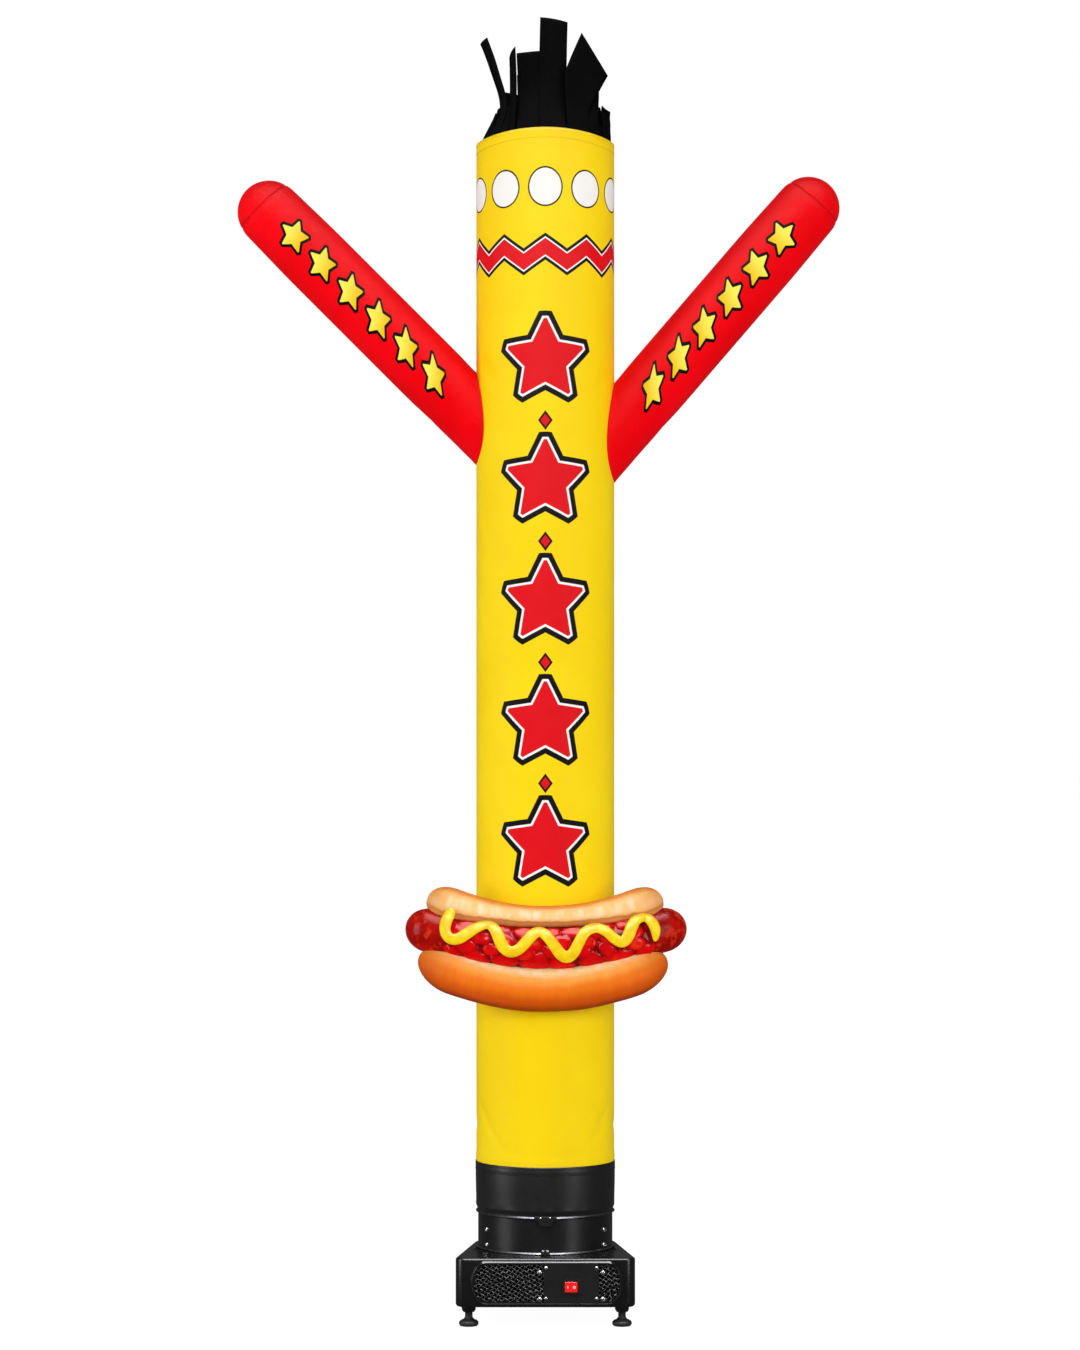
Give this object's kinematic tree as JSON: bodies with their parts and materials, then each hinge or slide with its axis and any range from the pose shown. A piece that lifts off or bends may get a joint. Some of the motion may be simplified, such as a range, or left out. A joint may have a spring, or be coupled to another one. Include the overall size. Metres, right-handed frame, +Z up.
{
  "type": "inflatable air dancer with blower",
  "caption": "Tall nylon tube with raised arms, cloth strips for hair and a stuffed hot dog, standing inflated on a black blower with levelling feet.",
  "frame": {"origin": "on the floor under the feet, on the common axis of the blower's drum and the nylon tube", "axes": "+Z up along the tube, -Y towards the front with the switch and the hot dog, +X to the right as seen from the front"},
  "size_m": [1.3443, 0.449, 2.8778],
  "materials": {
    "housing_plastic": "satin",
    "drum_plastic": "satin",
    "panel_plastic": "satin",
    "rocker_plastic": "gloss",
    "guard_steel": "satin",
    "screw_steel": "gloss",
    "hoop_steel": "gloss",
    "foot_rubber": "satin",
    "cuff_vinyl": "satin",
    "yellow_nylon": "satin",
    "red_nylon": "satin",
    "black_nylon": "satin",
    "brown_bun_cloth": "satin",
    "tan_bun_cloth": "satin",
    "sausage_cloth": "gloss",
    "relish_cloth": "gloss",
    "mustard_cloth": "gloss"
  },
  "bodies": {
    "blower": {"housing": "housing_plastic", "grille_bezel": "housing_plastic", "mesh_guard": "guard_steel", "control_panel": "panel_plastic", "switch_frame": "panel_plastic", "panel_screw_1": "screw_steel", "panel_screw_2": "screw_steel", "panel_screw_3": "screw_steel", "panel_screw_4": "screw_steel", "guard_screw_1": "screw_steel", "guard_screw_2": "screw_steel", "guard_screw_3": "screw_steel", "guard_screw_4": "screw_steel", "cable_gland": "panel_plastic", "boss_front_left": "housing_plastic", "boss_front_right": "housing_plastic", "boss_back_left": "housing_plastic", "boss_back_right": "housing_plastic", "drum": "drum_plastic", "drum_screw_1": "screw_steel", "drum_screw_2": "screw_steel", "drum_screw_3": "screw_steel", "drum_screw_4": "screw_steel", "drum_screw_5": "screw_steel", "drum_screw_6": "screw_steel", "drum_screw_7": "screw_steel", "drum_screw_8": "screw_steel", "lower_hoop": "hoop_steel", "lower_clasp": "panel_plastic", "lower_clasp_bolt_1": "screw_steel", "lower_clasp_bolt_2": "screw_steel", "upper_hoop": "hoop_steel", "upper_clasp": "panel_plastic", "upper_clasp_bolt_1": "screw_steel", "upper_clasp_bolt_2": "screw_steel", "base_cuff": "cuff_vinyl", "body_tube": "yellow_nylon", "arm_left": "red_nylon", "arm_cap_left": "red_nylon", "arm_right": "red_nylon", "arm_cap_right": "red_nylon", "hair_strips": "black_nylon", "bun_lower": "brown_bun_cloth", "bun_upper": "tan_bun_cloth", "sausage": "sausage_cloth", "relish": "relish_cloth", "mustard": "mustard_cloth"},
    "switch_rocker": {"rocker": "rocker_plastic"},
    "leg_front_left": {"foot_front_left": "foot_rubber"},
    "leg_front_right": {"foot_front_right": "foot_rubber"},
    "leg_back_left": {"foot_back_left": "foot_rubber"},
    "leg_back_right": {"foot_back_right": "foot_rubber"}
  },
  "joints": [
    {"name": "rocker_tilt", "type": "hinge", "parent": "blower", "child": "switch_rocker", "pos_m": [0.0573, -0.2012, 0.0911], "axis": [0, 0, 1], "range_deg": [0, 16]},
    {"name": "front_left_level", "type": "slide", "parent": "blower", "child": "leg_front_left", "axis": [0, 0, 1], "range_m": [-0.01, 0.01]},
    {"name": "front_right_level", "type": "slide", "parent": "blower", "child": "leg_front_right", "axis": [0, 0, 1], "range_m": [-0.01, 0.01]},
    {"name": "back_left_level", "type": "slide", "parent": "blower", "child": "leg_back_left", "axis": [0, 0, 1], "range_m": [-0.01, 0.01]},
    {"name": "back_right_level", "type": "slide", "parent": "blower", "child": "leg_back_right", "axis": [0, 0, 1], "range_m": [-0.01, 0.01]}
  ]
}
